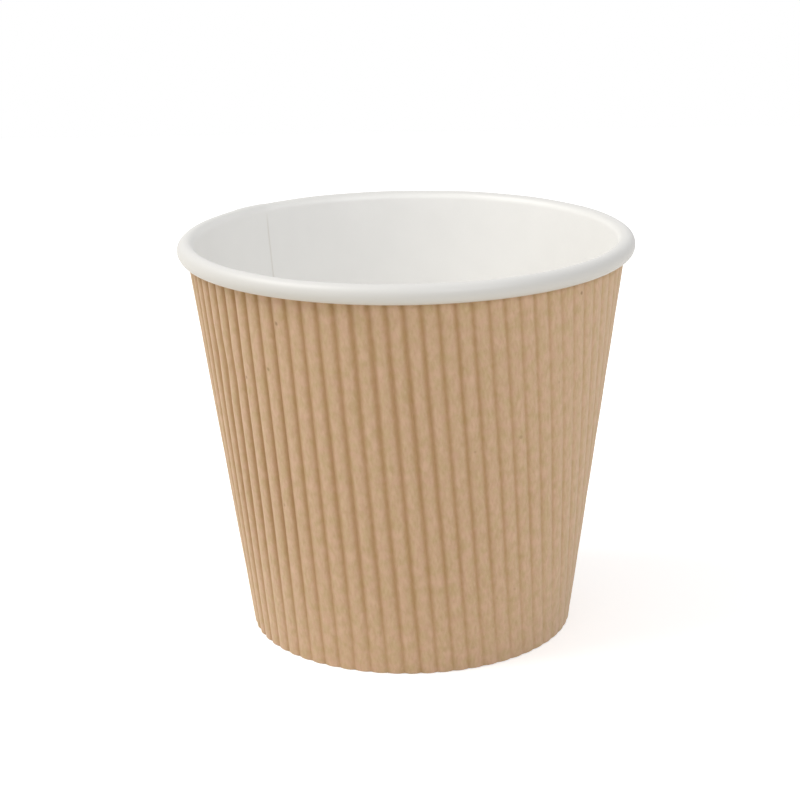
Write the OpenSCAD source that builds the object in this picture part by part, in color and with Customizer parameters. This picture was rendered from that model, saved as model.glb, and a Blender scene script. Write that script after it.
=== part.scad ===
// Paper soup cup with a ripple wrap: a white board cup with a rolled rim,
// a recessed base disc, and a fluted kraft wrap round the outside.
// Millimetres, +Z up, the origin on the axis at the table, the front towards -Y.

/* [Cup] */
// Diameter over the rolled rim
rim_d = 90; // [80:0.5:110]
// Height from the table to the top of the rim
cup_h = 80; // [60:0.5:110]
// Diameter of the board wall at the table, under the wrap
foot_d = 62.4; // [52:0.1:72]
// How far the rolled rim stands out from the wall
rim_overhang = 3.35; // [2.8:0.05:4.5]
// Turns of board in the rolled rim
rim_turns = 1.35; // [1.15:0.05:1.5]

/* [Board] */
// Thickness of the wall's board
wall_t = 0.35; // [0.25:0.01:0.45]
// Thickness of the base disc's board
base_t = 0.3; // [0.2:0.01:0.4]
// Air left between two layers of board that lie on each other
layer_gap = 0.05; // [0.03:0.01:0.1]

/* [Foot] */
// Height of the cup's floor above the table
floor_h = 7.2; // [5:0.1:14]
// Radius of the bend between the floor and its skirt
floor_bend = 0.9; // [0.6:0.1:1.2]
// Distance from the top edge of the folded hem up to that bend
hem_clear = 0.1; // [0.1:0.1:2]

/* [Side seam] */
// Width of the overlap of the wall's two edges
lap_w = 7; // [4:0.5:10]
// How much the pressed overlap stands out on the outside
lap_rise = 0.15; // [0.05:0.01:0.2]
// Direction in which the inner cut edge lies, from +X
seam_dir = 135; // [0:1:359]

/* [Ripple wrap] */
// Thickness of the kraft paper
paper_t = 0.25; // [0.18:0.01:0.3]
// Distance from rib to rib, across the flat sheet
ripple_pitch = 3.2; // [3:0.1:5]
// Height of the ribs above their grooves
ripple_depth = 0.6; // [0.4:0.05:0.9]
// How far the grooves lie from the line along which the ribs run straight up
ripple_shift = 2.1; // [0:0.1:3]
// Clearance between the grooves' backs and the wall
wrap_gap = 0.45; // [0.25:0.01:0.5]
// Width of the wrap's own overlap
wrap_lap = 8; // [5:0.5:12]
// Height of the wrap's lower edge above the table
wrap_foot_gap = 0.1; // [0.1:0.1:3]
// Gap between the wrap's upper edge and the rolled rim
wrap_rim_gap = 0.2; // [0.1:0.05:2]
// Direction in which the ribs run straight up the wall, from +X
flute_dir = -120; // [-180:1:180]

/* [Hidden] */

// Rolled rim: a coil of board, as wide as its overhang and the wall together
roll_r = (rim_overhang + wall_t) / 2;
coil_r = roll_r - wall_t / 2;
coil_step = wall_t + layer_gap;
coil_tuck = [250, 340]; // turn at which the board starts to leave the outer turn, and lies inside it
coil_centre = [rim_d / 2 - roll_r, cup_h - roll_r];

// Wall: a straight line, tangent to the coil
foot_point = [foot_d / 2 - wall_t / 2, 0];
foot_to_coil = coil_centre - foot_point;
lean = atan2(foot_to_coil[0], foot_to_coil[1]) - asin(coil_r / norm(foot_to_coil));
up = [sin(lean), cos(lean)];
inward = [-cos(lean), sin(lean)];
coil_start = coil_centre + coil_r * inward;

// Foot: the wall, the base disc's skirt and the hem lie side by side
hem_shift = wall_t + base_t + 2 * layer_gap;
hem_h = floor_h - base_t - floor_bend - hem_clear;
skirt_shift = wall_t / 2 + layer_gap + base_t / 2;
fold_slack = 0.03; // radius left on the inside of the foot's folds
fold_r = wall_t / 2 + fold_slack;
skirt_foot = wall_t + 3 * layer_gap; // height of the skirt's lower edge, just above the fold

// Side seam: depth of the step at the inner cut edge, and the width over which the next layer climbs to it
cut_depth = 0.6 * wall_t;
cut_climb = 4 * cut_depth;

// Smoothness of the arcs, in degrees a step, and of the round sections
arc_step = 15;
round_fn = 180;

// Ripple wrap: one rib as shares of the pitch and of the depth, on the back of the sheet
rib = [[0, 0], [0.17, 0.72], [0.37, 1], [0.63, 1], [0.83, 0.72]];
rib_rows = 5; // steps along a rib
seam_depth = 0.15; // share of the ribs' depth that the pressed seam keeps
seam_gap = 0.15; // between the two layers at the seam
seam_fade = 10; // degrees over which the ribs flatten, and over which the outer layer lifts
seam_ahead = 10; // degrees of pressed sheet before the seam
corner_clip = 1; // what the sheet's two upper corners lose, across the ribs

seat_r = foot_d / 2 + wrap_gap / cos(lean); // radius at the table of the cone that the wrap's back lies on
sheet_h = ripple_depth + paper_t;
wrap_bottom = wrap_foot_gap + sheet_h * sin(lean);
wrap_top = coil_centre[1] - roll_r - wrap_rim_gap;
apex_z = -seat_r / tan(lean);
slant_bottom = (wrap_bottom - apex_z) / cos(lean);
slant_top = (wrap_top - apex_z) / cos(lean);
lap_turn = wrap_lap / (slant_top * sin(lean)) * 180 / PI;
edge_before = 180 * sin(lean); // flat angle from the straight ribs to the inner edge
edge_after = (180 + lap_turn) * sin(lean); // and to the outer edge

// A point of the wall's line, moved inwards by shift, at the height z
function at_height(shift, z) =
    let (p = foot_point + shift * inward)
    p + up * (z - p[1]) / cos(lean);

// An arc of radius r that rounds the corner b of the path a, b, c
function rounded(a, b, c, r) =
    let (
        u = (a - b) / norm(a - b),
        v = (c - b) / norm(c - b),
        half = acos(u * v) / 2,
        centre = b + (u + v) / norm(u + v) * r / sin(half),
        from = b + u * r / tan(half) - centre,
        side = sign(cross(b - a, c - b)),
        steps = ceil((180 - 2 * half) / arc_step)
    )
    [for (i = [0:steps])
        let (w = side * (180 - 2 * half) * i / steps)
        centre + [from[0] * cos(w) - from[1] * sin(w), from[0] * sin(w) + from[1] * cos(w)]];

// The outline of a strip of board of thickness t whose middle follows a path. Its faces stay parallel to the
// path's edges, so a step at a corner is a little longer than one beside an edge.
function right_of(p, i) =
    let (
        before = p[max(i, 1)] - p[max(i, 1) - 1],
        after = p[min(i, len(p) - 2) + 1] - p[min(i, len(p) - 2)],
        u = [before[1], -before[0]] / norm(before),
        v = [after[1], -after[0]] / norm(after)
    )
    (u + v) / (1 + u * v);
function strip(p, t) = concat(
    [for (i = [0:len(p) - 1]) p[i] + right_of(p, i) * t / 2],
    [for (i = [len(p) - 1:-1:0]) p[i] - right_of(p, i) * t / 2]
);

// Radius of the rim's coil after it has turned by w degrees
function coil_at(w) =
    w < coil_tuck[0] ? coil_r :
    w < coil_tuck[1] ? coil_r - coil_step * (w - coil_tuck[0]) / (coil_tuck[1] - coil_tuck[0]) :
    coil_r - coil_step * (1 + (w - coil_tuck[1]) / 360);
function coil_path() =
    let (steps = ceil(360 * rim_turns / arc_step))
    [for (i = [0:steps])
        let (w = 360 * rim_turns * i / steps, a = 180 - lean - w)
        coil_centre + coil_at(w) * [cos(a), sin(a)]];

// The wall's section, from the top of the hem, round the foot's fold, up the wall and round the coil
function wall_path() =
    let (
        hem_top = at_height(hem_shift, hem_h),
        hem_corner = at_height(hem_shift, wall_t / 2),
        wall_corner = at_height(0, wall_t / 2)
    )
    concat(
        [hem_top],
        rounded(hem_top, hem_corner, wall_corner, fold_r),
        rounded(hem_corner, wall_corner, coil_start, fold_r),
        coil_path()
    );

// The base disc's section, from the axis to the bend and down the skirt
function base_path() =
    let (
        middle = [0, floor_h - base_t / 2],
        corner = at_height(skirt_shift, middle[1]),
        skirt_end = at_height(skirt_shift, skirt_foot)
    )
    concat([middle], rounded(middle, corner, skirt_end, floor_bend), [skirt_end]);

module turned(section, turn = 360) {
    rotate_extrude(angle = turn, $fn = round_fn) polygon(section);
}

// The outer layer of the pressed overlap, a low band on the outside of the wall
module side_lap() {
    turn = lap_w / (coil_centre[0] - roll_r) * 180 / PI;
    face = -(wall_t / 2 + lap_rise);
    rotate(seam_dir)
        turned([
            at_height(0, skirt_foot), at_height(face, skirt_foot),
            at_height(face, wrap_top), at_height(0, wrap_top)
        ], turn);
}

// The cut edge of the inner layer, where the outer layer climbs over it
module cut_edge() {
    start = at_height(wall_t / 2, floor_h - base_t);
    length = (coil_start[1] - start[1]) / cos(lean);
    rotate(seam_dir)
        translate([start[0], 0, start[1]])
            rotate([0, lean, 0])
                linear_extrude(length)
                    polygon([[-cut_depth, 0], [cut_depth, 0], [0, -cut_climb], [-cut_depth, -cut_climb]]);
}

// One sheet of board: hem, wall and rolled rim
module cup_wall() {
    color("whitesmoke")
        difference() {
            union() {
                turned(strip(wall_path(), wall_t));
                side_lap();
            }
            cut_edge();
        }
}

// The floor, with the skirt that the foot's fold holds
module base_disc() {
    color("white") turned(strip(base_path(), base_t));
}

function ramp(x, a, b) =
    let (t = min(max((x - a) / (b - a), 0), 1))
    t * t * (3 - 2 * t);

// Share of the ribs' depth that is left, and the lift of the outer layer, at a turn from the straight ribs
function rib_share(turn) =
    seam_depth + (1 - seam_depth)
        * ramp(turn, lap_turn + seam_ahead / 2 - 180, lap_turn + seam_ahead / 2 + seam_fade - 180)
        * (1 - ramp(turn, 180 - seam_ahead - seam_fade, 180 - seam_ahead));
function lap_lift(turn) =
    (paper_t + seam_depth * ripple_depth + seam_gap)
        * ramp(turn, 180 - seam_ahead - seam_fade, 180 - seam_ahead);

// From the back of the sheet to its face at point k of a rib, square to both of its neighbours
function rib_point(k) =
    let (n = len(rib), turn = floor(k / n))
    [(rib[k - turn * n][0] + turn) * ripple_pitch, rib[k - turn * n][1] * ripple_depth];
function to_face(k) =
    let (
        a = rib_point(k) - rib_point(k - 1),
        b = rib_point(k + 1) - rib_point(k),
        m = [-a[1], a[0]] / norm(a),
        n = [-b[1], b[0]] / norm(b)
    )
    (m + n) * paper_t / (1 + m * n);

// Columns of the sheet across the ribs: place, height, and the way to the face
sheet_from = corner_clip - slant_top * sin(edge_before);
sheet_to = slant_top * sin(edge_after) - corner_clip;
columns = [
    for (i = [floor(sheet_from / ripple_pitch) - 1:ceil(sheet_to / ripple_pitch)])
        for (k = [0:len(rib) - 1])
            let (c = ripple_shift + i * ripple_pitch + rib_point(k)[0])
            if (c > sheet_from && c < sheet_to)
                [c, rib_point(k)[1], to_face(k)]
];

// A point of the sheet that lies across at c, along at slant s and out by h, rolled on to the cone
function rolled(c, s, h, t) =
    let (turn = asin(c / s) / sin(lean), r = s * sin(lean) + (h + t) * cos(lean))
    [r * cos(turn), r * sin(turn), apex_z + s * cos(lean) - (h + t) * sin(lean)];
function column_start(c) = max(slant_bottom, c < 0 ? -c / sin(edge_before) : c / sin(edge_after));
function sheet_point(col, i, face) =
    let (
        s = column_start(col[0]) + (slant_top - column_start(col[0])) * i / rib_rows,
        turn = asin(col[0] / s) / sin(lean),
        share = rib_share(turn),
        c = col[0] + (face ? share * col[2][0] : 0),
        t = face ? paper_t + share * (col[2][1] - paper_t) : 0
    )
    rolled(c, s, share * col[1] + lap_lift(turn), t);

// The fluted sheet, with its ribs parallel on the flat, wrapped round the cup
module ripple_wrap() {
    last = len(columns) - 1;
    row = rib_rows + 1;
    points = [for (side = [0, 1]) for (col = columns) for (i = [0:rib_rows]) sheet_point(col, i, side == 1)];
    // Number of a point: its side of the sheet, 0 for the back, its column and its row
    function at(side, j, i) = (side * (last + 1) + j) * row + i;
    function pair(a, b, c, d) = [[a, b, c], [a, c, d]];
    quads = concat(
        [for (j = [0:last - 1]) for (i = [0:rib_rows - 1])
            pair(at(1, j, i), at(1, j, i + 1), at(1, j + 1, i + 1), at(1, j + 1, i))],
        [for (j = [0:last - 1]) for (i = [0:rib_rows - 1])
            pair(at(0, j, i), at(0, j + 1, i), at(0, j + 1, i + 1), at(0, j, i + 1))],
        [for (j = [0:last - 1])
            pair(at(0, j, 0), at(1, j, 0), at(1, j + 1, 0), at(0, j + 1, 0))],
        [for (j = [0:last - 1])
            pair(at(0, j, rib_rows), at(0, j + 1, rib_rows), at(1, j + 1, rib_rows), at(1, j, rib_rows))],
        [for (i = [0:rib_rows - 1])
            pair(at(0, 0, i), at(0, 0, i + 1), at(1, 0, i + 1), at(1, 0, i))],
        [for (i = [0:rib_rows - 1])
            pair(at(0, last, i), at(1, last, i), at(1, last, i + 1), at(0, last, i + 1))]
    );
    color("burlywood")
        rotate(flute_dir)
            polyhedron(points, [for (q = quads) for (t = q) t]);
}

cup_wall();
base_disc();
ripple_wrap();
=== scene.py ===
import math
import bpy
import numpy as np
from mathutils import Matrix, Vector


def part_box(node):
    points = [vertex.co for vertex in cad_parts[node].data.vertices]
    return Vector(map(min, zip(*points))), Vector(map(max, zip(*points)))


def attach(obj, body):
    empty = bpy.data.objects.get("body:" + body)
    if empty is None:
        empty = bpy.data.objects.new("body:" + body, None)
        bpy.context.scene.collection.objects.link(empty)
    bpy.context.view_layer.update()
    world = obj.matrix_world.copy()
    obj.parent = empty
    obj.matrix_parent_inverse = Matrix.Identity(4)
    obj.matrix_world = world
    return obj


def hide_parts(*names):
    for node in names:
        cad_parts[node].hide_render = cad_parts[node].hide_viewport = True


# Paper soup cup: white coated board with a rolled rim, and a fluted kraft wrap.
# Sizes are in millimetres until a mesh is made, angles are in degrees.
# Directions count anticlockwise from +X; the photograph looks along +Y.

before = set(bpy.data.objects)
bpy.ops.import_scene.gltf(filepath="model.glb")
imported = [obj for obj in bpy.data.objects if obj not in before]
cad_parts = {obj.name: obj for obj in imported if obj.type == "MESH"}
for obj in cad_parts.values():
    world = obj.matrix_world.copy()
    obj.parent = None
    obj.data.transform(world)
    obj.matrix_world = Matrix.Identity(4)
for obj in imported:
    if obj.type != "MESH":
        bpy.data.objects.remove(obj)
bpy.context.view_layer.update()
mm = 0.001
print("frame loaded:", ", ".join(sorted(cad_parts)))


# sRGB hex to the linear colour that a shader takes
def hexColor(text):
    channels = [int(text[i:i + 2], 16) / 255 for i in (1, 3, 5)]
    return tuple(c / 12.92 if c <= 0.04045 else ((c + 0.055) / 1.055) ** 2.4 for c in channels) + (1.0,)


# A node with its settings and inputs; an input is a value, or the socket that feeds it
def addNode(tree, kind, inputs=None, **settings):
    node = tree.nodes.new(kind)
    for name, value in settings.items():
        setattr(node, name, value)
    for key, value in (inputs or {}).items():
        if isinstance(value, bpy.types.NodeSocket):
            tree.links.new(value, node.inputs[key])
        else:
            node.inputs[key].default_value = value
    return node


# Smooth step from 0 at a to 1 at b: 3t^2 - 2t^3
def ramp(x, a, b):
    t = np.clip((x - a) / (b - a), 0, 1)
    return t * t * (3 - 2 * t)


# A bump of height 1 around 0 that falls as exp(-(x / width)^2)
def bell(x, width):
    return np.exp(-(x / width) ** 2)


# Slow seeded unevenness over two coordinates: a sum of sines with random directions and
# phases, over the root of twice their number, about -1 to 1
def unevenness(seed, u, v, waveU, waveV, count=6):
    draw = np.random.default_rng(seed)
    total = np.zeros(np.broadcast(u, v).shape)
    for i in range(count):
        rateU, rateV = draw.uniform(-1, 1) / waveU, draw.uniform(-1, 1) / waveV
        total += np.sin(2 * np.pi * (u * rateU + v * rateV) + draw.uniform(0, 2 * np.pi))
    return total / math.sqrt(2 * count)


# Unevenness that closes round the axis: a sum of sines with whole numbers of waves and
# seeded phases, over the root of twice their number, about -1 to 1
def roundUnevenness(seed, directions, waves):
    phases = np.random.default_rng(seed).uniform(0, 2 * np.pi, len(waves))
    sines = np.sin(np.outer(waves, np.radians(directions)) + phases[:, None])
    return sines.sum(0) / math.sqrt(2 * len(waves))


# Quads of a grid of points: point (i, j) joins (i, j + 1), (i + 1, j + 1) and (i + 1, j);
# a closed direction also joins its last line to its first
def gridQuads(rows, columns, closeRows, closeColumns):
    firstRows, firstColumns = np.arange(rows - (not closeRows)), np.arange(columns - (not closeColumns))
    i, j = np.meshgrid(firstRows, firstColumns, indexing="ij")
    iNext, jNext = (i + 1) % rows, (j + 1) % columns
    corners = [i * columns + j, i * columns + jNext, iNext * columns + jNext, iNext * columns + j]
    return np.stack(corners, -1).reshape(-1, 4)


# Points in millimetres and quads to an object, smooth except at edges sharper than sharpAngle degrees
def makePiece(name, points, quads, material, sharpAngle=45):
    mesh = bpy.data.meshes.new(name)
    mesh.vertices.add(len(points))
    mesh.vertices.foreach_set("co", (points * mm).astype(np.float32).ravel())
    mesh.loops.add(quads.size)
    mesh.loops.foreach_set("vertex_index", quads.astype(np.int32).ravel())
    mesh.polygons.add(len(quads))
    mesh.polygons.foreach_set("loop_start", np.arange(0, quads.size, 4, dtype=np.int32))
    mesh.update(calc_edges=True)
    mesh.validate()
    mesh.polygons.foreach_set("use_smooth", np.ones(len(mesh.polygons), bool))
    mesh.set_sharp_from_angle(angle=math.radians(sharpAngle))
    mesh.materials.append(material)
    piece = bpy.data.objects.new(name, mesh)
    bpy.context.scene.collection.objects.link(piece)
    return piece


# One number for each point, which a material can read by name
def addPointValues(piece, name, values):
    attribute = piece.data.attributes.new(name, "FLOAT", "POINT")
    attribute.data.foreach_set("value", values.astype(np.float32).ravel())


# Flat sheet coordinates in metres as the piece's UV map
def addSheetMap(piece, name, u, v):
    flat = np.stack([u.ravel(), v.ravel()], -1) * mm
    corner = np.zeros(len(piece.data.loops), np.int32)
    piece.data.loops.foreach_get("vertex_index", corner)
    layer = piece.data.uv_layers.new(name=name)
    layer.data.foreach_set("uv", flat[corner].astype(np.float32).ravel())


# What the cup's shape follows; the outer sizes come from the frame
wallHigh = np.array(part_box("cup_wall")[1]) / mm
wrapLow = np.array(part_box("ripple_wrap")[0]) / mm
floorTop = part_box("base_disc")[1].z / mm
cup = {
    "rimRadius": wallHigh[0],
    "height": wallHigh[2],
    "footRadius": 31.2,       # outside of the board at the table
    "rollHeight": 3.72,       # of the rolled rim's oval section
    "rollWidth": 3.4,
    "boardThickness": 0.35,
    "baseThickness": 0.3,
    "layerGap": 0.05,         # between layers of board that lie together
    "rimTurns": 1.35,
    "seamDirection": 135,
}
rollHalf = np.array([cup["rollWidth"], cup["rollHeight"]]) / 2
rollCentre = np.array([cup["rimRadius"], cup["height"]]) - rollHalf


# The board's line in the rolled rim: centre + ((width / 2 - inset) sin u, (height / 2 - inset) cos u),
# where u grows from the oval's top over the outside
def rollPoint(u, inset):
    inset = np.broadcast_to(inset, np.shape(u))[..., None]
    return rollCentre + (rollHalf - inset) * np.stack([np.sin(u), np.cos(u)], -1)


# The wall leans from the foot to where it touches the oval's inner side
footPoint = np.array([cup["footRadius"] - cup["boardThickness"] / 2, 0])
u = np.radians(np.arange(-180, 0, 0.1))
fromFoot = rollPoint(u, cup["boardThickness"] / 2) - footPoint
leans = np.arctan2(fromFoot[:, 0], fromFoot[:, 1])
lean = leans.min()
rollStart = u[leans.argmin()]
wallUp = np.array([math.sin(lean), math.cos(lean)])
wallInward = np.array([-math.cos(lean), math.sin(lean)])


# A point of the wall's line, moved inwards by shift, at the height z: p + up (z - p.z) / up.z
def wallPoint(shift, z):
    p = footPoint + shift * wallInward
    return p + wallUp * (z - p[1]) / wallUp[1]


# Points evenly from a to b, both ends included: a + (b - a) t
def straight(a, b, count):
    return a + (b - a) * np.linspace(0, 1, count)[:, None]


# Arc of radius r that rounds the corner b of the path a, b, c, in steps of about 12 degrees: its
# centre lies r / sin(half) from b on the corner's middle line, half being half the corner's angle
def rounded(a, b, c, r):
    u, v = (a - b) / np.hypot(*(a - b)), (c - b) / np.hypot(*(c - b))
    half = math.acos(np.dot(u, v)) / 2
    centre = b + (u + v) / np.hypot(*(u + v)) * r / math.sin(half)
    arm = b + u * r / math.tan(half) - centre
    bend = math.pi - 2 * half
    side = np.sign((b - a)[0] * (c - b)[1] - (b - a)[1] * (c - b)[0])
    w = side * bend * np.linspace(0, 1, math.ceil(math.degrees(bend) / 12) + 1)
    across, up = arm[0] * np.cos(w) - arm[1] * np.sin(w), arm[0] * np.sin(w) + arm[1] * np.cos(w)
    return centre + np.stack([across, up], -1)


# Closed outline of a strip whose middle follows a path: the path moved half the thickness to its
# right, then back along its left. A corner moves by (u + v) / (1 + u.v), u and v being the unit
# normals of its two edges.
def stripOutline(path, thickness):
    edges = np.diff(path, axis=0)
    normals = np.stack([edges[:, 1], -edges[:, 0]], -1) / np.hypot(edges[:, 0], edges[:, 1])[:, None]
    u, v = normals[[0, *range(len(normals))]], normals[[*range(len(normals)), -1]]
    step = (u + v) / (1 + np.sum(u * v, axis=1))[:, None] * thickness / 2
    return np.concatenate([path + step, (path - step)[::-1]])


# Turns an outline of radius and height round Z: x = r cos a, y = r sin a, one column for each
# direction a
def turned(radius, height, directions):
    a = np.radians(directions)
    return np.stack([radius * np.cos(a), radius * np.sin(a), np.broadcast_to(height, radius.shape)], -1)


print("materials")

# Unbleached kraft paper, machine-made and corrugated without a coating: matt, warm brown, with
# clouds of denser pulp in two hues, a mottle of pale and dark fibres, a few dark shives, and
# darker, browner grooves, partly the pressed paper's browner tone and partly painted shade
kraft = {
    "pinkPulp": "#DCBA9F",
    "yellowPulp": "#CFB58D",
    "paleFibre": "#E6CEB1",
    "darkFibre": "#AC8962",
    "fibreAmount": 0.21,
    "grooveToneAndShade": "#A67A3F",
    "shive": "#8F6D4A",
    "cloudSize": 2.4,       # mm
    "cloudRange": (0.35, 0.65),  # of the noise, from one hue to the other
    "fibreWidth": 0.6,      # mm; real fibres are 0.03 mm, drawn coarser so that they show
    "fibreLength": 2.2,     # mm
    "fibreTurns": (-15, 2, 12),
    "fibreRange": (1.15, 1.85),  # of the sum of the three layers, from dark to pale
    "shiveCell": 3.2,       # mm between possible shives
    "shiveShare": 0.12,     # of the cells that hold one
    "shiveRadius": 0.16,    # share of a cell, and the part of it that fades out
    "shiveFade": 0.1,
    "shiveStrength": 0.8,
    "grooveToneAndShadeStrength": 0.5,
    "grooveToneAndShadeDeep": 0.2,      # share of the rib's height below which the groove's browner tone and painted shade are full
    "bumpDepth": 0.03,      # mm
}
kraftPaper = bpy.data.materials.new("kraftPaper")
kraftPaper.use_nodes = True
tree = kraftPaper.node_tree
tree.nodes.clear()
sheetMap = addNode(tree, "ShaderNodeUVMap", uv_map="sheet")
cloud = addNode(tree, "ShaderNodeTexNoise", {
    "Vector": sheetMap.outputs["UV"], "Scale": 1 / (kraft["cloudSize"] * mm), "Detail": 3.0,
    "Roughness": 0.6,
})
fibreScale = (1 / (kraft["fibreWidth"] * mm), 1 / (kraft["fibreLength"] * mm), 1)
fibreLayers = []
for turn in kraft["fibreTurns"]:
    turnedMap = addNode(tree, "ShaderNodeVectorRotate", {
        "Vector": sheetMap.outputs["UV"], "Angle": math.radians(turn),
    }, rotation_type="Z_AXIS")
    stretched = addNode(tree, "ShaderNodeVectorMath", {
        0: turnedMap.outputs["Vector"], 1: fibreScale,
    }, operation="MULTIPLY")
    layer = addNode(tree, "ShaderNodeTexNoise", {
        "Vector": stretched.outputs["Vector"], "Scale": 1.0, "Detail": 2.0, "Roughness": 0.5,
        "Distortion": 0.4,
    })
    fibreLayers.append(layer.outputs["Fac"])
fibreSum = addNode(tree, "ShaderNodeMath", {0: fibreLayers[0], 1: fibreLayers[1]}, operation="ADD")
fibreSum = addNode(tree, "ShaderNodeMath", {0: fibreSum.outputs[0], 1: fibreLayers[2]}, operation="ADD")
fibre = addNode(tree, "ShaderNodeMapRange", {
    "Value": fibreSum.outputs[0], "From Min": kraft["fibreRange"][0], "From Max": kraft["fibreRange"][1],
})
shives = addNode(tree, "ShaderNodeTexVoronoi", {
    "Vector": sheetMap.outputs["UV"], "Scale": 1 / (kraft["shiveCell"] * mm), "Randomness": 1.0,
})
shiveSpot = addNode(tree, "ShaderNodeMapRange", {
    "Value": shives.outputs["Distance"], "From Min": kraft["shiveRadius"],
    "From Max": kraft["shiveRadius"] - kraft["shiveFade"],
})
shiveChance = addNode(tree, "ShaderNodeSeparateColor", {"Color": shives.outputs["Color"]})
shiveRare = addNode(tree, "ShaderNodeMapRange", {
    "Value": shiveChance.outputs["Red"], "From Min": 1 - kraft["shiveShare"], "From Max": 1.0,
    "To Max": kraft["shiveStrength"],
})
shiveMask = addNode(tree, "ShaderNodeMath", {
    0: shiveSpot.outputs[0], 1: shiveRare.outputs[0],
}, operation="MULTIPLY")
cloudSpread = addNode(tree, "ShaderNodeMapRange", {
    "Value": cloud.outputs["Fac"], "From Min": kraft["cloudRange"][0], "From Max": kraft["cloudRange"][1],
})
pulp = addNode(tree, "ShaderNodeMix", {
    "Factor": cloudSpread.outputs[0], "A": hexColor(kraft["yellowPulp"]), "B": hexColor(kraft["pinkPulp"]),
}, data_type="RGBA")
fibreTone = addNode(tree, "ShaderNodeMix", {
    "Factor": fibre.outputs[0], "A": hexColor(kraft["darkFibre"]), "B": hexColor(kraft["paleFibre"]),
}, data_type="RGBA")
fibred = addNode(tree, "ShaderNodeMix", {
    "Factor": kraft["fibreAmount"], "A": pulp.outputs["Result"], "B": fibreTone.outputs["Result"],
}, data_type="RGBA")
# Partly painted shade: low on the rib, in the grooves, the colour turns darker and browner, partly the
# pressed paper's tone and partly painted shade
ribHeight = addNode(tree, "ShaderNodeAttribute", attribute_name="ribHeight")
grooveToneAndShadeMask = addNode(tree, "ShaderNodeMapRange", {
    "Value": ribHeight.outputs["Fac"], "From Min": 1.0, "From Max": kraft["grooveToneAndShadeDeep"],
    "To Max": kraft["grooveToneAndShadeStrength"],
}, interpolation_type="SMOOTHSTEP")
grooveToneAndShaded = addNode(tree, "ShaderNodeMix", {
    "Factor": grooveToneAndShadeMask.outputs[0], "A": fibred.outputs["Result"], "B": hexColor(kraft["grooveToneAndShade"]),
}, data_type="RGBA")
flecked = addNode(tree, "ShaderNodeMix", {
    "Factor": shiveMask.outputs[0], "A": grooveToneAndShaded.outputs["Result"], "B": hexColor(kraft["shive"]),
}, data_type="RGBA")
relief = addNode(tree, "ShaderNodeBump", {
    "Height": fibre.outputs[0], "Strength": 0.5, "Distance": kraft["bumpDepth"] * mm,
})
surface = addNode(tree, "ShaderNodeBsdfPrincipled", {
    "Base Color": flecked.outputs["Result"], "Roughness": 0.88, "Diffuse Roughness": 0.6,
    "IOR": 1.47, "Specular IOR Level": 0.25, "Sheen Weight": 0.2, "Sheen Roughness": 0.5,
    "Normal": relief.outputs["Normal"],
})
addNode(tree, "ShaderNodeOutputMaterial", {"Surface": surface.outputs["BSDF"]})


# Bleached cup board with a thin extruded polyethylene coat: clean white, a soft wide sheen, faint
# pulp clouds and a fine grain that the coat doesn't quite fill. The rolled rim is painted a little
# greyer, a painted shade, and the board's raw cut edge is browner.
def makeCoatedBoard(name, spec):
    material = bpy.data.materials.new(name)
    material.use_nodes = True
    tree = material.node_tree
    tree.nodes.clear()
    place = addNode(tree, "ShaderNodeTexCoord")
    cloud = addNode(tree, "ShaderNodeTexNoise", {
        "Vector": place.outputs["Object"], "Scale": 1 / (spec["cloudSize"] * mm), "Detail": 3.0,
    })
    grain = addNode(tree, "ShaderNodeTexNoise", {
        "Vector": place.outputs["Object"], "Scale": 1 / (spec["grainSize"] * mm), "Detail": 2.0,
    })
    tint = addNode(tree, "ShaderNodeMix", {
        "Factor": cloud.outputs["Fac"], "A": hexColor(spec["shade"]), "B": hexColor(spec["white"]),
    }, data_type="RGBA")
    # Painted shade: along the coil the board takes the greyer roll colour, so the rolled rim looks shaded
    rolled = addNode(tree, "ShaderNodeAttribute", attribute_name="rolled")
    rimShaded = addNode(tree, "ShaderNodeMix", {
        "Factor": rolled.outputs["Fac"], "A": tint.outputs["Result"], "B": hexColor(spec["roll"]),
    }, data_type="RGBA")
    cutEdge = addNode(tree, "ShaderNodeAttribute", attribute_name="cutEdge")
    edged = addNode(tree, "ShaderNodeMix", {
        "Factor": cutEdge.outputs["Fac"], "A": rimShaded.outputs["Result"], "B": hexColor(spec["rawEdge"]),
    }, data_type="RGBA")
    gloss = addNode(tree, "ShaderNodeMapRange", {
        "Value": cloud.outputs["Fac"], "To Min": spec["roughness"][0], "To Max": spec["roughness"][1],
    })
    relief = addNode(tree, "ShaderNodeBump", {
        "Height": grain.outputs["Fac"], "Strength": 0.35, "Distance": spec["bumpDepth"] * mm,
    })
    surface = addNode(tree, "ShaderNodeBsdfPrincipled", {
        "Base Color": edged.outputs["Result"], "Roughness": gloss.outputs[0], "IOR": 1.5,
        "Normal": relief.outputs["Normal"],
    })
    addNode(tree, "ShaderNodeOutputMaterial", {"Surface": surface.outputs["BSDF"]})
    return material


# roll is the greyer colour of the rolled rim, a painted shade
wallBoard = {
    "white": "#F5F4F1", "shade": "#F0EFEC", "roll": "#D8D7D4", "rawEdge": "#CFC8BC",
    "cloudSize": 7, "grainSize": 0.5, "bumpDepth": 0.02,  # mm
    "roughness": (0.37, 0.47),
}
floorBoard = {
    "white": "#F0EFEB", "shade": "#EAE9E5", "roll": "#E2E0DC", "rawEdge": "#CFC8BC",
    "cloudSize": 6, "grainSize": 0.5, "bumpDepth": 0.025,
    "roughness": (0.43, 0.53),
}
coatedBoard = makeCoatedBoard("coatedBoard", wallBoard)
coatedBase = makeCoatedBoard("coatedBase", floorBoard)

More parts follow.
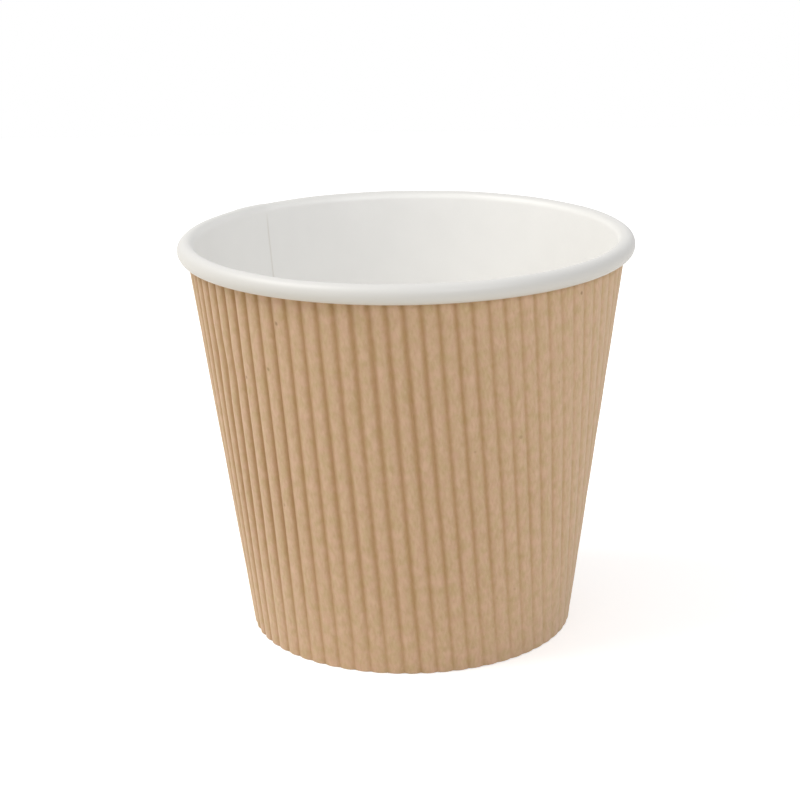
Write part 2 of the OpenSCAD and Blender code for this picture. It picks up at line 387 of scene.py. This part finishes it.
print("ripple wrap")
wrap = {
    "pitch": 3.2,             # from rib to rib across the flat sheet
    "shift": 2.1,             # of the grooves from the line where the ribs run straight up
    "straightDirection": -120,
    "paper": 0.25,
    "sheetHeight": 0.85,      # paper and ribs together
    "relief": 0.59,           # from the bottom of a groove to the top of a rib, on the face
    "grooveWidth": 0.2,       # share of the pitch
    # places across the sheet, and the share of the relief there that rounds the ribs' tops
    "crown": ((-45, 1), (-10, 0.9), (20, 0.7), (40, 0.6)),
    "seatGap": 0.45,          # between the grooves' backs and the wall
    "rimGap": 0.05,           # between the sheet's upper edge and the rolled rim
    "lap": 8,
    "seamRelief": 0.15,       # share of the relief that the pressed seam keeps
    "seamGap": 0.15,
    "seamFade": 10,           # degrees over which the ribs flatten
    "seamAhead": 10,          # degrees of pressed sheet before the seam
    "wander": 0.1,            # mm that a rib strays sideways
    "wanderWaves": (14, 60),  # mm of its waves, across and along the sheet
    "calmEnds": 8,            # mm at a rib's two ends in which it strays less
    # places across the sheet, and how far the ribs there lie from an even pitch
    "drift": ((-60, 0), (-30, -0.15), (0, 0), (15, 0.1), (30, -0.4), (48, -1.1), (70, -1.1), (95, 0)),
    # places across the sheet, and the share of the relief there: some ribs are pressed flatter
    "pressing": ((-45, 1.15), (-10, 1.1), (5, 1), (20, 1), (35, 0.72), (50, 0.5), (60, 0.38),
                 (80, 0.38), (100, 0.9)),
    "footPressing": 0.42,     # share of the relief that is lost at the sheet's lower edge
    "footFade": 32,           # mm over which it comes back
    "shallow": 0.2,           # share by which grooves are shallower in places
    "shallowWaves": (9, 45),
    # a dented spot: its place across the sheet and from the upper edge, and its size both ways
    "dentPlace": (-20, -17),
    "dentSize": (5, 7),
    "dentDepth": 0.3,         # share of the relief that a rib's top sinks there
    "dentSinkRates": (2.3, 0.25),    # radians for each mm across and along
    "dentShift": 0.35,        # mm that a rib strays there
    "dentShiftRates": (1 / 3, 1 / 3.5),
    "rows": 42,
    # places of the columns of points in one pitch, closer in the groove
    "ribStations": (0, 0.04, 0.08, 0.125, 0.18, 0.27, 0.38, 0.5, 0.62, 0.73, 0.82, 0.875, 0.92, 0.96),
}


# Face of one rib, from 0 in the groove to 1 on top, for a place x of -0.5 to 0.5 pitch from the
# groove: 1 - (1 - crown) exp(-(x / grooveWidth)^2) - crown (1 - 2 |x|)^2
def ribFace(x, crown):
    return 1 - (1 - crown) * bell(x, wrap["grooveWidth"]) - crown * (1 - 2 * np.abs(x)) ** 2


# The fluted sheet: columns run along the ribs, which are parallel on the flat, and rows from the
# lower or side edge to the top. A point at c across and s from the cone's tip turns by
# asin(c / s) / sin(lean) on the cone.
def makeRippleWrap():
    seatRadius = cup["footRadius"] + wrap["seatGap"] / math.cos(lean)
    apex = -seatRadius / math.tan(lean)
    bottom = wrapLow[2] + wrap["sheetHeight"] * math.sin(lean)
    slantBottom = (bottom - apex) / math.cos(lean)
    slantTop = (cup["height"] - cup["rollHeight"] - wrap["rimGap"] - apex) / math.cos(lean)
    lapTurn = math.degrees(wrap["lap"] / (slantTop * math.sin(lean)))
    edgeBefore = math.sin(math.radians(180 * math.sin(lean)))
    edgeAfter = math.sin(math.radians((180 + lapTurn) * math.sin(lean)))
    mostRibs = math.ceil(slantTop / wrap["pitch"])
    ribs = np.arange(-mostRibs, mostRibs)[:, None] + np.array(wrap["ribStations"])[None, :]
    across = wrap["shift"] + ribs.ravel() * wrap["pitch"]
    # the last 1 mm of each pointed end would give needles
    kept = (across > 1 - slantTop * edgeBefore) & (across < slantTop * edgeAfter - 1)
    across = across[kept][:, None]
    start = np.maximum(slantBottom, np.where(across < 0, -across / edgeBefore, across / edgeAfter))
    along = start + (slantTop - start) * np.linspace(0, 1, wrap["rows"])[None, :]
    turn = np.degrees(np.arcsin(across / along)) / math.sin(lean)

    # Ribs flatten towards the seam, and the outer layer lifts over the inner one
    pressedFrom = 180 - wrap["seamAhead"] - wrap["seamFade"]
    pressed = ramp(turn, pressedFrom, pressedFrom + wrap["seamFade"])
    opening = lapTurn + wrap["seamAhead"] / 2 - 180
    free = ramp(turn, opening, opening + wrap["seamFade"]) * (1 - pressed)
    share = wrap["seamRelief"] + (1 - wrap["seamRelief"]) * free
    ribRelief = wrap["sheetHeight"] - wrap["paper"]
    lift = (wrap["paper"] + wrap["seamRelief"] * ribRelief + wrap["seamGap"]) * pressed

    # Handling leaves the ribs a little uneven: they stray sideways, and some are pressed flatter
    ends = wrap["calmEnds"]
    inMiddle = ramp(along, slantBottom, slantBottom + ends) * (1 - ramp(along, slantTop - ends, slantTop))
    stray = wrap["wander"] * unevenness(3, across, along, *wrap["wanderWaves"])
    shallow = 0.5 + 0.5 * np.clip(unevenness(5, across, along, *wrap["shallowWaves"]), -1, 1)
    uneven = 1 - wrap["shallow"] * shallow
    place = (across - wrap["shift"]) / wrap["pitch"]
    fromGroove = place - np.round(place)
    top = ribFace(fromGroove, np.interp(across, *zip(*wrap["crown"])))
    dentAcross = bell(across - wrap["dentPlace"][0], wrap["dentSize"][0])
    dented = dentAcross * bell(along - slantTop - wrap["dentPlace"][1], wrap["dentSize"][1])
    sinkRates, shiftRates = wrap["dentSinkRates"], wrap["dentShiftRates"]
    dent = dented * (0.5 + 0.5 * np.sin(across * sinkRates[0] + along * sinkRates[1]))
    stray = stray + wrap["dentShift"] * dented * np.sin(across * shiftRates[0] + along * shiftRates[1])
    nearFoot = 1 - ramp(along, slantBottom, slantBottom + wrap["footFade"])
    pressing = np.interp(across, *zip(*wrap["pressing"])) * (1 - wrap["footPressing"] * nearFoot)
    hollow = wrap["relief"] * pressing * (uneven * (1 - top) + wrap["dentDepth"] * dent * top)
    face = wrap["paper"] + share * (ribRelief - hollow) + lift
    back = face - wrap["paper"]
    across = across + np.interp(across, *zip(*wrap["drift"])) + stray * inMiddle

    # Rolls the sheet on to the cone, raised by height along the cone's normal
    def rolled(height):
        turnHere = np.degrees(np.arcsin(across / along)) / math.sin(lean)
        radius = along * math.sin(lean) + height * math.cos(lean)
        z = apex + along * math.cos(lean) - height * math.sin(lean)
        return turned(radius, z, turnHere + wrap["straightDirection"])

    columns, rows = along.shape
    loop = np.concatenate([rolled(face), rolled(back)[:, ::-1]], axis=1)
    points = loop.reshape(-1, 3)
    sides = gridQuads(columns, 2 * rows, False, True)[:, ::-1]
    i = np.arange(rows - 1)
    firstEnd = np.stack([i, 2 * rows - 1 - i, 2 * rows - 2 - i, i + 1], -1)
    lastEnd = (columns - 1) * 2 * rows + firstEnd[:, ::-1]
    quads = np.concatenate([sides, firstEnd[:, ::-1], lastEnd[:, ::-1]])
    piece = makePiece("rippleWrap", points, quads, kraftPaper, sharpAngle=60)
    sheetU = np.broadcast_to(across, along.shape)
    bothU, bothV = (np.concatenate([side, side[:, ::-1]], axis=1) for side in (sheetU, along))
    addSheetMap(piece, "sheet", bothU, bothV)
    # ribHeight is the rib's height as a share; kraftPaper paints the grooves darker and browner from it,
    # partly painted shade
    shade = 1 - share * np.clip(hollow / wrap["relief"], 0, 1)
    addPointValues(piece, "ribHeight", np.concatenate([shade, np.ones_like(shade)], axis=1))
    return piece


rippleWrap = makeRippleWrap()

print("cup wall")
wall = {
    "columns": 480,
    "columnsApart": 0.2,      # degrees that an even column keeps from those beside the cut edge
    "hemPoints": 8,
    "sidePoints": 20,
    "arcStep": 9,             # degrees between points of the coil
    "coilTuck": (250, 340),   # turn at which the board leaves the outer turn, and lies inside it
    "foldLoose": 0.03,        # mm of inner radius in the two folds of the foot
    "cutDepth": 0.2,          # mm of the step at the inner cut edge
    "cutClimb": 1.6,          # mm over which the next layer climbs to it
    "cutStart": (-1, 0.5),    # mm from the floor over which the step grows
    "cutEnd": (-2, 0),        # mm from the middle of the roll over which it ends
    "cutLine": (-0.1, 0.16),  # place and width in mm of the raw edge's tone
    "cutTone": 0.8,
    "endTone": 0.9,           # of the raw edges of hem and coil
    "seamColumns": (-1.7, -0.8, -0.3, -0.06, 0.0, 0.12, 0.4),  # mm from the cut edge
    "lapWidth": 7,
    "lapStart": (-1.5, 0.5),  # mm from the cut edge over which the overlap rises
    "lapEnd": (-1, 1),        # mm from its width over which it falls
    "seamSkew": 5.5,          # mm from the cone's straight line to the cut edge, which runs beside it
    "lapRise": 0.1,           # mm that the rim and the outside stand out over the overlap
    "hemClear": 1.3,          # from the hem's top edge to the floor's upper side
    "rimUneven": 0.06,        # mm that the roll swells and shrinks round the rim
    "rimWaves": (2, 5, 9, 16),
    "swellTurns": ((0, 60), (190, 250)),  # coil's turns over which overlap and waves grow and end
    "rimShadeTurns": (10, 60),    # coil's turns over which the board grows greyer: painted shade on the rolled rim
    "knurls": 120,            # pressed marks round the inside of the hem
    "knurlDepth": 0.07,
    "knurlStart": (1.0, 1.6),  # mm above the table over which the marks grow
    "knurlEnd": (-2.6, -2.0),  # mm from the floor over which they end
}
# Directions of the columns: even ones, and a few more beside the cut edge
evenDirections = np.arange(wall["columns"]) * 360 / wall["columns"]
seamRadius = cup["rimRadius"] - cup["rollWidth"]
perMillimetre = math.degrees(1 / seamRadius)
nearSeam = cup["seamDirection"] + perMillimetre * np.array(wall["seamColumns"])
apart = np.min(np.abs(evenDirections[:, None] - nearSeam[None, :]), axis=1) > wall["columnsApart"]
wallDirections = np.sort(np.concatenate([evenDirections[apart], nearSeam]))


# Middle line of the board: hem from its top edge down, two folds, the wall, and the coil, which
# lies one layer further in after the two tuck angles and goes on shrinking. Also the coil's turn
# at each point, 0 below it, and the number of points on the hem.
def wallLine():
    board, gap = cup["boardThickness"], cup["layerGap"]
    hemShift = board + cup["baseThickness"] + 2 * gap
    foldRadius = board / 2 + wall["foldLoose"]
    hemTop = wallPoint(hemShift, floorTop - wall["hemClear"])
    hemCorner = wallPoint(hemShift, board / 2)
    wallCorner = wallPoint(0, board / 2)
    wholeTurn = 360 * cup["rimTurns"]
    w = np.linspace(0, wholeTurn, math.ceil(wholeTurn / wall["arcStep"]) + 1)
    step = board + gap
    tucks = [*wall["coilTuck"], wall["coilTuck"][1] + 360]
    inset = board / 2 + np.interp(w, tucks, [0, step, 2 * step])
    coil = rollPoint(rollStart + np.radians(w), inset)
    hemFold = rounded(hemTop, hemCorner, wallCorner, foldRadius)
    wallFold = rounded(hemCorner, wallCorner, coil[0], foldRadius)
    hem = straight(hemTop, hemFold[0], wall["hemPoints"])[:-1]
    side = straight(wallFold[-1], coil[0], wall["sidePoints"])[1:-1]
    path = np.concatenate([hem, hemFold, wallFold, side, coil])
    return path, np.concatenate([np.zeros(len(path) - len(w)), w]), len(hem)


# The board's section turned round the axis, then pressed: the radius grows behind the cut edge
# by cutDepth (1 + x / cutClimb), the roll swells over the overlap and in waves, and the hem moves
# inwards by knurlDepth (1 - cos(knurls a)) / 2
def makeCupWall():
    path, coilTurn, hemCount = wallLine()
    outline = stripOutline(path, cup["boardThickness"])
    count = len(path)
    radius = np.repeat(outline[:, :1], len(wallDirections), axis=1)
    height = np.repeat(outline[:, 1:], len(wallDirections), axis=1)
    order = np.arange(2 * count)
    onInside = (order >= count)[:, None]
    station = np.where(order < count, order, 2 * count - 1 - order)
    coilTurn = coilTurn[station][:, None]
    onWall = coilTurn == 0
    fromSeam = ((wallDirections - cup["seamDirection"] + 180) % 360 - 180) / perMillimetre
    behind = np.where(fromSeam < 0, np.clip(1 + fromSeam / wall["cutClimb"], 0, 1), 0)[None, :]
    (startLow, startHigh), (endLow, endHigh) = wall["cutStart"], wall["cutEnd"]
    fadeIn = ramp(height, floorTop + startLow, floorTop + startHigh)
    fadeIn = fadeIn * (1 - ramp(height, rollCentre[1] + endLow, rollCentre[1] + endHigh))
    radius = radius + np.where(onInside & onWall, wall["cutDepth"] * behind * fadeIn, 0)

    # Over the overlap the roll is a little thicker: its points move away from the coil's centre
    lapFall = [wall["lapWidth"] + place for place in wall["lapEnd"]]
    overlap = ramp(fromSeam, *wall["lapStart"]) * (1 - ramp(fromSeam, *lapFall))
    fromCentre = np.stack([radius - rollCentre[0], height - rollCentre[1]])
    outward = fromCentre / np.hypot(*fromCentre)
    uneven = wall["rimUneven"] * roundUnevenness(11, wallDirections, wall["rimWaves"])[None, :]
    swellStart, swellEnd = wall["swellTurns"]
    outerTurn = ramp(coilTurn, *swellStart) * (1 - ramp(coilTurn, *swellEnd))
    swell = (wall["lapRise"] * overlap[None, :] + uneven) * outerTurn
    radius, height = radius + swell * outward[0], height + swell * outward[1]

    # Knurls press the hem against the base's skirt
    knurlTop = [floorTop + place for place in wall["knurlEnd"]]
    onHem = ramp(height, *wall["knurlStart"]) * (1 - ramp(height, *knurlTop))
    inHem = ((station < hemCount) & (order < count))[:, None]
    knurl = 0.5 - 0.5 * np.cos(np.radians(wallDirections * wall["knurls"]))[None, :]
    radius = radius - np.where(inHem, wall["knurlDepth"] * knurl * onHem, 0)

    # The blank's edge runs parallel to one of the cone's straight lines, so the seam turns a little
    # with height: by asin(seamSkew / s) / sin(lean), s being the distance from the cone's tip
    s = (outline[:, 1] + cup["footRadius"] / math.tan(lean)) / math.cos(lean)
    skew = np.degrees(np.arcsin(wall["seamSkew"] / s)) / math.sin(lean)
    skew = skew - skew[np.argmin(np.abs(outline[:, 1] - rollCentre[1]))]
    points = turned(radius, height, wallDirections[None, :] + skew[:, None])
    quads = gridQuads(len(outline), len(wallDirections), True, True)
    piece = makePiece("cupWall", points.reshape(-1, 3), quads, coatedBoard, sharpAngle=50)
    cutPlace, cutWidth = wall["cutLine"]
    cut = bell(fromSeam[None, :] - cutPlace, cutWidth) * onInside * onWall * fadeIn
    ends = (station == 0) | (station == count - 1)
    addPointValues(piece, "cutEdge", np.maximum(wall["cutTone"] * cut, wall["endTone"] * ends[:, None]))
    # rolled: how far along the coil a point lies, which mixes in the roll's greyer colour, a painted shade
    addPointValues(piece, "rolled", np.broadcast_to(ramp(coilTurn, *wall["rimShadeTurns"]), height.shape))
    return piece


cupWall = makeCupWall()

print("base disc")
base = {
    "columns": 360,           # an even number
    "floorPoints": 15,
    "skirtPoints": 6,
    "bend": 0.9,              # radius of the bend between floor and skirt
    "dish": 0.25,             # mm that the floor sinks in the middle
    "gathers": 46,            # small folds round the bend, where the flat round is drawn down
    "gatherMix": (-9, -4, 0, 5, 11),  # numbers of waves beside that one, which make them uneven
    "gatherDepth": 0.035,
    "gatherLine": (0.2, 0.5),  # mm past the flat part where they lie, and their half length
}


# The disc's section from the axis to the skirt's lower edge, turned: the floor sinks by
# dish (1 - (r / R)^2), and the bend sinks by gatherDepth (1 + wave), a sum of sines round the
# edge. The smallest ring on each side is closed by strips from side to side.
def makeBaseDisc():
    board = cup["baseThickness"]
    skirtShift = cup["boardThickness"] / 2 + cup["layerGap"] + board / 2
    middle = np.array([0.0, floorTop - board / 2])
    corner = wallPoint(skirtShift, middle[1])
    skirtEnd = wallPoint(skirtShift, cup["boardThickness"] + 3 * cup["layerGap"])
    bend = rounded(middle, corner, skirtEnd, base["bend"])
    floorPath = straight(middle, bend[0], base["floorPoints"] + 1)[1:-1]
    path = np.concatenate([floorPath, bend, straight(bend[-1], skirtEnd, base["skirtPoints"])[1:]])
    outline = stripOutline(path, board)
    directions = np.arange(base["columns"]) * 360 / base["columns"]
    radius = np.repeat(outline[:, :1], base["columns"], axis=1)
    height = np.repeat(outline[:, 1:], base["columns"], axis=1)
    flatEnd = bend[0, 0]
    height = height - base["dish"] * np.clip(1 - (radius / flatEnd) ** 2, 0, 1)
    wave = roundUnevenness(21, directions, base["gathers"] + np.array(base["gatherMix"]))[None, :]
    gatherPlace, gatherWidth = base["gatherLine"]
    atBend = bell(radius - flatEnd - gatherPlace, gatherWidth) * (height > floorTop - 1)
    height = height - base["gatherDepth"] * (1 + wave) * atBend
    points = turned(radius, height, directions[None, :])
    columns = base["columns"]
    k = np.arange(columns // 2 - 1)
    cap = np.stack([k, k + 1, columns - 2 - k, columns - 1 - k], -1)
    rings = gridQuads(len(outline), columns, False, True)
    quads = np.concatenate([rings, cap[:, ::-1], cap + (len(outline) - 1) * columns])
    piece = makePiece("baseDisc", points.reshape(-1, 3), quads, coatedBase, sharpAngle=50)
    for name in ("cutEdge", "rolled"):
        addPointValues(piece, name, np.zeros(points.shape[:2]))
    return piece


baseDisc = makeBaseDisc()

for piece, node, slotName in (
    (cupWall, "cup_wall", "white_board"),
    (baseDisc, "base_disc", "base_board"),
    (rippleWrap, "ripple_wrap", "kraft_paper"),
):
    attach(piece, "root")
    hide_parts(node)
    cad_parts[node].data.materials.clear()
    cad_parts[node].data.materials.append(piece.data.materials[0])

print("floor, light and camera")
studio = {
    "floorSize": 1.2,         # m
    "floorColor": "#E8E2D5",  # as the cup sees it; the camera sees it white, with the cup's shadow
    "floorShare": 0.95,       # of the light on the floor that the camera sees; the floor adds floorGlow
    "floorGlow": 0.42,
    "skyLevel": 0.55,
    "lampAim": (0, 0, 0.045),  # m
    "lamps": (
        # name, place in m, size in m, watts, colour
        ("keyLamp", (-0.69, -0.1, 0.95), 0.8, 7.9, "#FFFCF7"),
        ("fillLamp", (0.54, -0.9, 0.8), 0.6, 3.5, "#F4F7FF"),
    ),
}


# 1 for a ray from the camera, also a mirrored or passed on one, and 0 for other light: the
# largest of the light path's three flags
def seenFlag(tree):
    path = addNode(tree, "ShaderNodeLightPath")
    seen = path.outputs["Is Camera Ray"]
    for flag in ("Is Glossy Ray", "Is Transmission Ray"):
        larger = addNode(tree, "ShaderNodeMath", {0: seen, 1: path.outputs[flag]}, operation="MAXIMUM")
        seen = larger.outputs[0]
    return seen


world = bpy.data.worlds.new("studioWorld")
bpy.context.scene.world = world
world.use_nodes = True
tree = world.node_tree
tree.nodes.clear()
level = addNode(tree, "ShaderNodeMapRange", {
    "Value": seenFlag(tree), "To Min": studio["skyLevel"], "To Max": 1.0,
})
sky = addNode(tree, "ShaderNodeBackground", {"Color": (1, 1, 1, 1), "Strength": level.outputs[0]})
addNode(tree, "ShaderNodeOutputWorld", {"Surface": sky.outputs["Background"]})

floorPaint = bpy.data.materials.new("floorPaint")
floorPaint.use_nodes = True
tree = floorPaint.node_tree
tree.nodes.clear()
matt = addNode(tree, "ShaderNodeBsdfDiffuse", {"Color": hexColor(studio["floorColor"])})
share = studio["floorShare"]
dimMatt = addNode(tree, "ShaderNodeBsdfDiffuse", {"Color": (share, share, share, 1)})
glow = addNode(tree, "ShaderNodeEmission", {"Color": (1, 1, 1, 1), "Strength": studio["floorGlow"]})
both = addNode(tree, "ShaderNodeAddShader", {0: dimMatt.outputs[0], 1: glow.outputs[0]})
mixed = addNode(tree, "ShaderNodeMixShader", {0: seenFlag(tree), 1: matt.outputs[0], 2: both.outputs[0]})
addNode(tree, "ShaderNodeOutputMaterial", {"Surface": mixed.outputs[0]})
half = studio["floorSize"] / 2 / mm
corners = np.array([[-half, -half, 0], [half, -half, 0], [half, half, 0], [-half, half, 0]], float)
floor = makePiece("floor", corners, np.array([[0, 1, 2, 3]]), floorPaint)

for name, place, size, watts, color in studio["lamps"]:
    lamp = bpy.data.lights.new(name, "AREA")
    lamp.shape = "DISK"
    lamp.size = size
    lamp.energy = watts
    lamp.color = hexColor(color)[:3]
    holder = bpy.data.objects.new(name, lamp)
    bpy.context.scene.collection.objects.link(holder)
    holder.location = place
    toAim = Vector(studio["lampAim"]) - Vector(place)
    holder.rotation_euler = toAim.to_track_quat("-Z", "Y").to_euler()

# The photograph's view: the camera in front and above, aimed near the middle of the cup, rolled
# by one degree
view = {
    "distance": 415.4,        # from turnsAbout
    "elevation": 17.313,
    "roll": -1.002,
    "lens": 92.30,            # mm on a 36 mm wide frame
    "turnsAbout": (0, 0, 42),
    "aim": (-1.732, 0, 45.572),
}
cameraData = bpy.data.cameras.new("camera")
cameraData.sensor_width = 36
cameraData.lens = view["lens"]
cameraData.clip_start = 0.01
camera = bpy.data.objects.new("camera", cameraData)
bpy.context.scene.collection.objects.link(camera)
elevation, roll = math.radians(view["elevation"]), math.radians(view["roll"])
back = Vector((0, -math.cos(elevation), math.sin(elevation)))
place = (Vector(view["turnsAbout"]) + view["distance"] * back) * mm
forward = (Vector(view["aim"]) * mm - place).normalized()
right = forward.cross(Vector((0, 0, 1))).normalized()
up = right.cross(forward)
rolledRight = right * math.cos(roll) + up * math.sin(roll)
rolledUp = up * math.cos(roll) - right * math.sin(roll)
turn = Matrix((rolledRight, rolledUp, -forward)).transposed().to_4x4()
camera.matrix_world = Matrix.Translation(place) @ turn
bpy.context.scene.camera = camera
bpy.context.scene.view_settings.view_transform = "Standard"

print("pieces finished")
